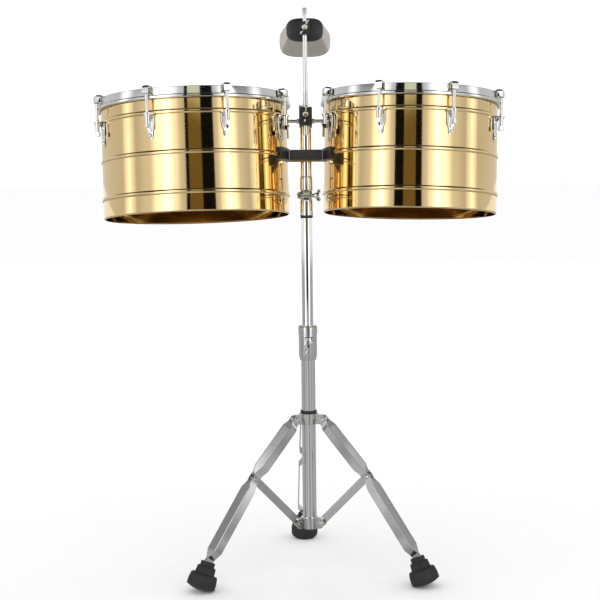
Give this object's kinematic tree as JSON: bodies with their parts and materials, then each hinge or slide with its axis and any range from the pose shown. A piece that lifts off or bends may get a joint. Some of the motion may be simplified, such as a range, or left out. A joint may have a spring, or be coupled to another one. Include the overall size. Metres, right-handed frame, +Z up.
{
  "type": "timbales",
  "caption": "Pair of deep metal timbales on a folding double-braced tripod stand, with a tilter, a crossbar and a cowbell on a rod.",
  "frame": {"origin": "on the floor, under the middle of the whole object's box", "axes": "+Z up, +Y towards the player, +X to the small drum"},
  "size_m": [0.8244, 0.455, 1.152],
  "materials": {
    "gold": "polished",
    "chrome": "polished",
    "steel": "satin",
    "black_paint": "satin powder coat",
    "black_plastic": "moulded",
    "rubber": "moulded",
    "film": "sprayed white coating",
    "bronze": "brushed, bronze tint"
  },
  "bodies": {
    "stand": {"lower_tube": "chrome", "tube_plug": "black_plastic", "spreader_hub": "steel", "hub_pins": "chrome", "height_clamp": "steel", "clamp_bushing": "black_plastic", "clamp_key": "chrome"},
    "clamp_screw": {"clamp_wing_screw": "chrome"},
    "collar": {"leg_collar": "steel", "collar_ring": "black_plastic", "collar_pins": "chrome"},
    "post": {"height_post": "chrome"},
    "tilter_base": {"tilter_fork": "steel", "tilter_bolt": "chrome", "tilter_ring": "black_plastic"},
    "tilter_screw": {"tilter_wing_screw": "chrome"},
    "drums": {"tilter_block": "steel", "mast_tube": "chrome", "crossbar": "black_paint", "crossbar_strap": "chrome", "crossbar_saddle": "steel", "carrier_bolts": "chrome", "shell_brackets": "black_paint", "rod_block": "black_paint", "block_bolt": "chrome", "stabiliser_rods": "chrome", "shell_left": "gold", "shell_right": "gold", "head_left": "film", "head_right": "film", "flesh_hoops": "steel", "hoop_left": "chrome", "hoop_right": "chrome", "lugs_left": "chrome", "lugs_right": "chrome", "lug_screws": "chrome", "tuning_hooks": "chrome", "tuning_nuts": "chrome"},
    "block_screw": {"block_wing_screw": "chrome"},
    "accessory_rod": {"bell_rod": "chrome", "rod_collar": "chrome"},
    "cowbell": {"cowbell_body": "bronze", "cowbell_end": "black_paint", "bell_clamp": "black_paint"},
    "bell_screw": {"bell_wing_screw": "chrome"},
    "leg_left": {"leg_left_strips": "steel", "leg_left_rivets": "chrome", "leg_left_liners": "black_plastic", "leg_left_foot": "rubber"},
    "strut_left": {"brace_left": "steel"},
    "leg_right": {"leg_right_strips": "steel", "leg_right_rivets": "chrome", "leg_right_liners": "black_plastic", "leg_right_foot": "rubber"},
    "strut_right": {"brace_right": "steel"},
    "leg_back": {"leg_back_strips": "steel", "leg_back_rivets": "chrome", "leg_back_liners": "black_plastic", "leg_back_foot": "rubber"},
    "strut_back": {"brace_back": "steel"}
  },
  "joints": [
    {"name": "leg_fold", "type": "slide", "parent": "stand", "child": "collar", "axis": [0, 0, 1], "range_m": [0, 0.078]},
    {"name": "leg_left_hinge", "type": "hinge", "parent": "collar", "child": "leg_left", "pos_m": [-0.01395, -0.0761, 0.321], "axis": [0.5402, -0.8415, 0], "range_deg": [-0.5, 34.79]},
    {"name": "leg_right_hinge", "type": "hinge", "parent": "collar", "child": "leg_right", "pos_m": [0.04141, -0.07349, 0.321], "axis": [0.4586, 0.8886, 0], "range_deg": [-0.5, 34.79]},
    {"name": "leg_back_hinge", "type": "hinge", "parent": "collar", "child": "leg_back", "pos_m": [0.01147, -0.02685, 0.321], "axis": [-0.9989, -0.0471, 0], "range_deg": [-0.5, 34.79]},
    {"name": "strut_left_hinge", "type": "hinge", "parent": "stand", "child": "strut_left", "pos_m": [-0.00974, -0.0734, 0.105], "axis": [0.5402, -0.8415, 0], "range_deg": [-34.89, 0.5]},
    {"name": "strut_right_hinge", "type": "hinge", "parent": "stand", "child": "strut_right", "pos_m": [0.03697, -0.07119, 0.105], "axis": [0.4586, 0.8886, 0], "range_deg": [-34.89, 0.5]},
    {"name": "strut_back_hinge", "type": "hinge", "parent": "stand", "child": "strut_back", "pos_m": [0.01171, -0.03184, 0.105], "axis": [-0.9989, -0.0471, 0], "range_deg": [-34.89, 0.5]},
    {"name": "post_height", "type": "slide", "parent": "stand", "child": "post", "axis": [0, 0, 1], "range_m": [-0.2, 0.1]},
    {"name": "post_swivel", "type": "hinge", "parent": "post", "child": "tilter_base", "pos_m": [0.01298, -0.05881, 0.747], "axis": [0, 0, 1], "continuous": true},
    {"name": "drum_tilt", "type": "hinge", "parent": "tilter_base", "child": "drums", "pos_m": [0.01298, -0.05881, 0.777], "axis": [1, 0, 0], "range_deg": [-35, 30]},
    {"name": "rod_height", "type": "slide", "parent": "drums", "child": "accessory_rod", "axis": [0, 0.1444, 0.9895], "range_m": [-0.026, 0.008]},
    {"name": "bell_swivel", "type": "hinge", "parent": "accessory_rod", "child": "cowbell", "pos_m": [0.01298, -0.02791, 1.11003], "axis": [0, 0.1444, 0.9895], "continuous": true},
    {"name": "clamp_screw_turn", "type": "hinge", "parent": "stand", "child": "clamp_screw", "pos_m": [0.01398, -0.08481, 0.471], "axis": [0, -1, 0], "range_deg": [-180, 180]},
    {"name": "tilter_screw_turn", "type": "hinge", "parent": "tilter_base", "child": "tilter_screw", "pos_m": [0.02998, -0.05881, 0.777], "axis": [1, 0, 0], "range_deg": [-180, 180]},
    {"name": "block_screw_turn", "type": "hinge", "parent": "drums", "child": "block_screw", "pos_m": [0.01298, -0.0654, 0.93966], "axis": [0, -0.9895, 0.1444], "range_deg": [-180, 180]},
    {"name": "bell_screw_turn", "type": "hinge", "parent": "cowbell", "child": "bell_screw", "pos_m": [0.01298, -0.03741, 1.11242], "axis": [0, -0.9895, 0.1444], "range_deg": [-180, 180]}
  ],
  "couplings": [
    {"joint": "leg_left_hinge", "follows": "leg_fold", "rad_per_m": 7.6734},
    {"joint": "leg_right_hinge", "follows": "leg_fold", "rad_per_m": 7.6734},
    {"joint": "leg_back_hinge", "follows": "leg_fold", "rad_per_m": 7.6734},
    {"joint": "strut_left_hinge", "follows": "leg_fold", "rad_per_m": -7.6957},
    {"joint": "strut_right_hinge", "follows": "leg_fold", "rad_per_m": -7.6957},
    {"joint": "strut_back_hinge", "follows": "leg_fold", "rad_per_m": -7.6957}
  ]
}
